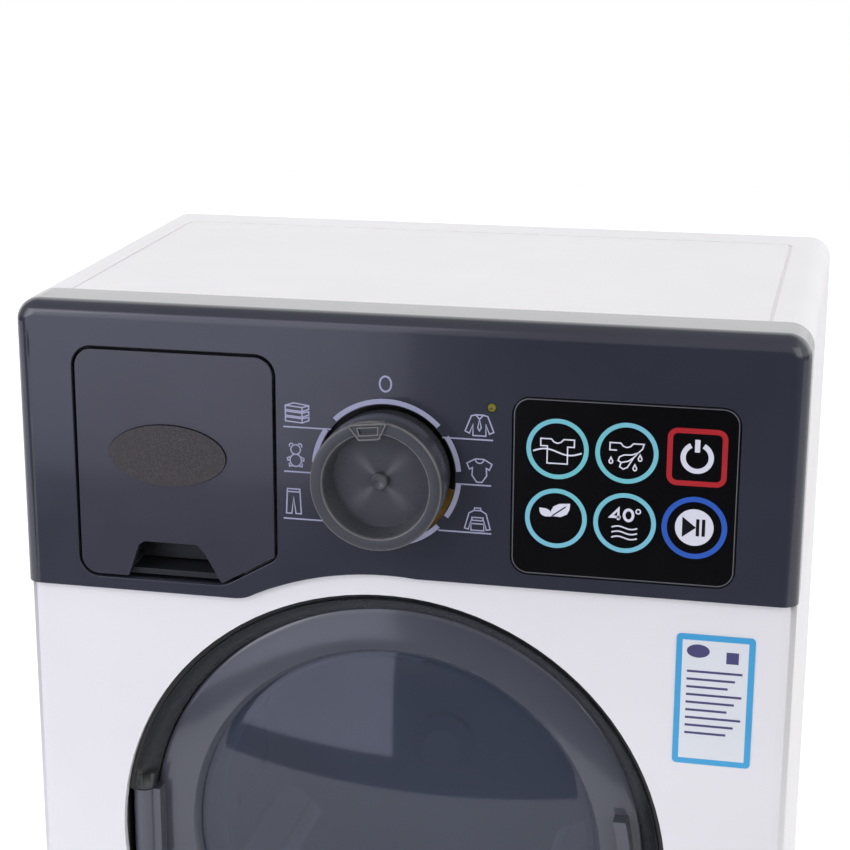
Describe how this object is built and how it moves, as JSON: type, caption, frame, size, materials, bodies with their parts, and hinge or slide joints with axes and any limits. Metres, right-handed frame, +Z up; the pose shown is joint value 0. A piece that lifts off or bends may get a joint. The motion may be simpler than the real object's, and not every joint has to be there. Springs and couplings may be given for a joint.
{
  "type": "toy washing machine",
  "caption": "Toy front-loading washing machine: white case, dark control panel with sliding drawer, turning dial and touch plate, hinged round door, spinning drum",
  "frame": {"origin": "on the table under the middle of the machine's box, which runs from the knob's face to the back", "axes": "+X right as seen from the front, +Y to the back, +Z up; the door and panel face -Y"},
  "size_m": [0.185, 0.1362, 0.24],
  "materials": {
    "white_plastic": "glossy white plastic",
    "panel_plastic": "glossy dark blue-grey plastic",
    "drawer_plastic": "glossy dark blue-grey plastic",
    "tray_plastic": "plain dark slate plastic",
    "badge_metal": "dark speckled lacquer",
    "knob_plastic": "smoky dark plastic",
    "glossy_black": "glossy black sheet",
    "board_green": "green circuit board",
    "led_yellow": "yellow-green diffuse lens",
    "bezel_plastic": "glossy near-black plastic",
    "door_plastic": "glossy blue-grey plastic",
    "window_plastic": "clear smoke-tinted plastic",
    "drum_plastic": "silver-grey plastic",
    "inner_plastic": "plain grey plastic",
    "steel": "plain steel",
    "brass": "bare brass",
    "nylon": "white nylon",
    "chip_black": "black resin",
    "speaker_black": "black speaker",
    "cell_jacket": "printed metal jacket",
    "rubber": "dark rubber",
    "sticker_film": "printed film"
  },
  "bodies": {
    "case": {"rear_shell": "white_plastic", "front_cover": "white_plastic", "control_panel": "panel_plastic", "sticker": "sticker_film", "drawer_housing": "tray_plastic", "dial_bush": "nylon", "dial_board": "board_green", "dial_contacts": "brass", "touch_plate": "glossy_black", "touch_board": "board_green", "status_led": "led_yellow", "door_bezel": "bezel_plastic", "door_hinge_pin": "steel", "door_catch": "nylon", "drum_bearing": "brass", "drum_support": "inner_plastic", "drum_motor": "steel", "motor_mount": "inner_plastic", "main_board": "board_green", "board_parts": "chip_black", "speaker": "speaker_black", "battery_1": "cell_jacket", "battery_2": "cell_jacket", "battery_3": "cell_jacket", "battery_contacts": "steel", "battery_cover": "white_plastic", "foot_1": "rubber", "foot_2": "rubber", "foot_3": "rubber", "foot_4": "rubber", "case_screws": "steel", "panel_screws": "steel", "housing_screws": "steel", "bezel_screws": "steel", "support_screws": "steel", "mount_screws": "steel", "board_screws": "steel", "speaker_screws": "steel", "battery_screw": "steel"},
    "door": {"door_ring": "door_plastic", "door_window": "window_plastic", "door_inner_ring": "inner_plastic", "door_screws": "steel"},
    "drawer": {"drawer_front": "drawer_plastic", "drawer_tray": "tray_plastic", "drawer_badge": "badge_metal"},
    "dial": {"dial_knob": "knob_plastic", "dial_wiper": "brass", "dial_spindle": "nylon", "dial_clip": "steel"},
    "drum_assembly": {"drum": "drum_plastic", "lifter_1": "white_plastic", "lifter_2": "white_plastic", "lifter_3": "white_plastic", "drum_shaft": "steel", "drum_gear": "nylon"},
    "motor_rotor": {"motor_pinion": "nylon", "motor_shaft": "steel"}
  },
  "joints": [
    {"name": "door_hinge", "type": "hinge", "parent": "case", "child": "door", "pos_m": [-0.0658, -0.04975, 0.105], "axis": [0, 0, -1], "range_deg": [0, 110]},
    {"name": "drawer_slide", "type": "slide", "parent": "case", "child": "drawer", "axis": [0, -1, 0], "range_m": [0, 0.052]},
    {"name": "dial_turn", "type": "hinge", "parent": "case", "child": "dial", "pos_m": [-0.002, -0.06815, 0.2032], "axis": [0, -1, 0], "range_deg": [-141.3, 128.7]},
    {"name": "drum_spin", "type": "hinge", "parent": "case", "child": "drum_assembly", "pos_m": [-0.0022, -0.03595, 0.105], "axis": [0, -1, 0], "continuous": true},
    {"name": "motor_spin", "type": "hinge", "parent": "case", "child": "motor_rotor", "pos_m": [0.0303, 0.03405, 0.105], "axis": [0, -1, 0], "continuous": true}
  ],
  "couplings": [
    {"joint": "motor_spin", "follows": "drum_spin", "ratio": -3.3333}
  ]
}
